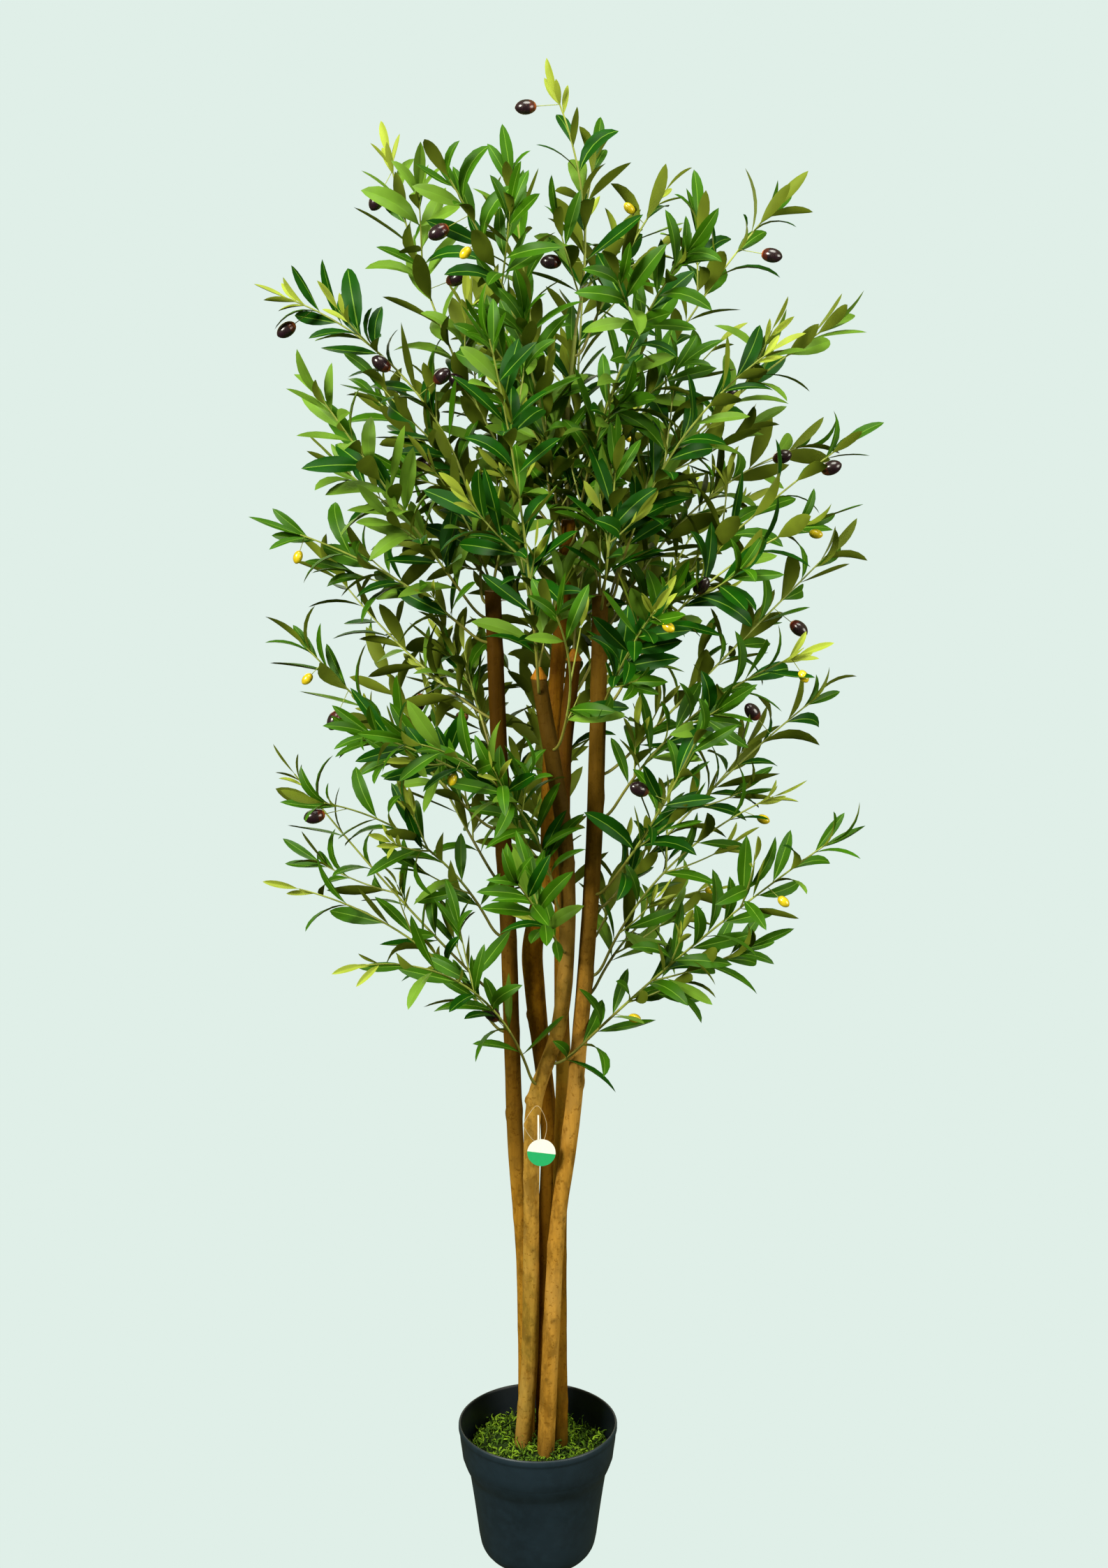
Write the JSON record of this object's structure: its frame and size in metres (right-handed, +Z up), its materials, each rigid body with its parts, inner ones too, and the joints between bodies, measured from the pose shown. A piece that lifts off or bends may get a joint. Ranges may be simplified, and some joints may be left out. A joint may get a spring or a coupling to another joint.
{
  "type": "artificial potted olive tree",
  "caption": "Tall artificial olive tree: crooked wood poles in a plain nursery pot, moss on top, with leafy plastic sprays and small olives.",
  "frame": {"origin": "middle of the pot's flat underside, on the surface that the tree stands on", "axes": "+Z up; the pictured front faces -Y, +X to the right in that view"},
  "size_m": [0.7161, 0.7257, 1.8048],
  "materials": {
    "pot_plastic": "dark slate moulded plastic, satin",
    "cement": "cast cement weight, hidden under the moss",
    "moss": "bright green preserved moss, matt curled fibres",
    "wood": "golden brown bark with darker mottles and knots, satin",
    "wood_plug": "orange-brown stained wood cone",
    "plastic_stem": "yellow-green moulded plastic stem, browner where thick",
    "plastic_leaves": "printed fabric leaves, mid green above and paler olive below, with a pale midrib, satin",
    "olive_dark": "near-black purple with reddish ends, glossy",
    "olive_yellow": "golden yellow, glossy",
    "tag_card": "blank two-colour card, matt"
  },
  "bodies": {
    "root": {"pot": "pot_plastic", "filler": "cement", "moss": "moss", "left_pole": "wood", "front_pole": "wood", "middle_pole": "wood", "back_pole": "wood", "right_pole": "wood", "leader_bough": "plastic_stem", "top_spray_1": "plastic_leaves", "top_spray_2": "plastic_leaves", "top_spray_3": "plastic_leaves", "top_spray_4": "plastic_leaves", "top_spray_5": "plastic_leaves", "top_spray_6": "plastic_leaves", "top_spray_7": "plastic_leaves", "top_spray_8": "plastic_leaves", "right_spray_1": "plastic_leaves", "right_spray_2": "plastic_leaves", "right_spray_3": "plastic_leaves", "right_spray_4": "plastic_leaves", "right_spray_5": "plastic_leaves", "right_spray_6": "plastic_leaves", "right_spray_7": "plastic_leaves", "right_spray_8": "plastic_leaves", "right_spray_9": "plastic_leaves", "right_spray_10": "plastic_leaves", "right_spray_11": "plastic_leaves", "right_spray_12": "plastic_leaves", "right_spray_13": "plastic_leaves", "right_spray_14": "plastic_leaves", "left_spray_1": "plastic_leaves", "left_spray_2": "plastic_leaves", "left_spray_3": "plastic_leaves", "left_spray_4": "plastic_leaves", "left_spray_5": "plastic_leaves", "left_spray_6": "plastic_leaves", "left_spray_7": "plastic_leaves", "left_spray_8": "plastic_leaves", "left_spray_9": "plastic_leaves", "left_spray_10": "plastic_leaves", "left_spray_11": "plastic_leaves", "left_spray_12": "plastic_leaves", "left_spray_13": "plastic_leaves", "left_spray_14": "plastic_leaves", "front_spray_1": "plastic_leaves", "front_spray_2": "plastic_leaves", "front_spray_3": "plastic_leaves", "front_spray_4": "plastic_leaves", "front_spray_5": "plastic_leaves", "front_spray_6": "plastic_leaves", "back_spray_1": "plastic_leaves", "back_spray_2": "plastic_leaves", "back_spray_3": "plastic_leaves", "back_spray_4": "plastic_leaves", "back_spray_5": "plastic_leaves", "back_spray_6": "plastic_leaves", "back_spray_7": "plastic_leaves", "back_spray_8": "plastic_leaves", "back_spray_9": "plastic_leaves"}
  },
  "joints": []
}
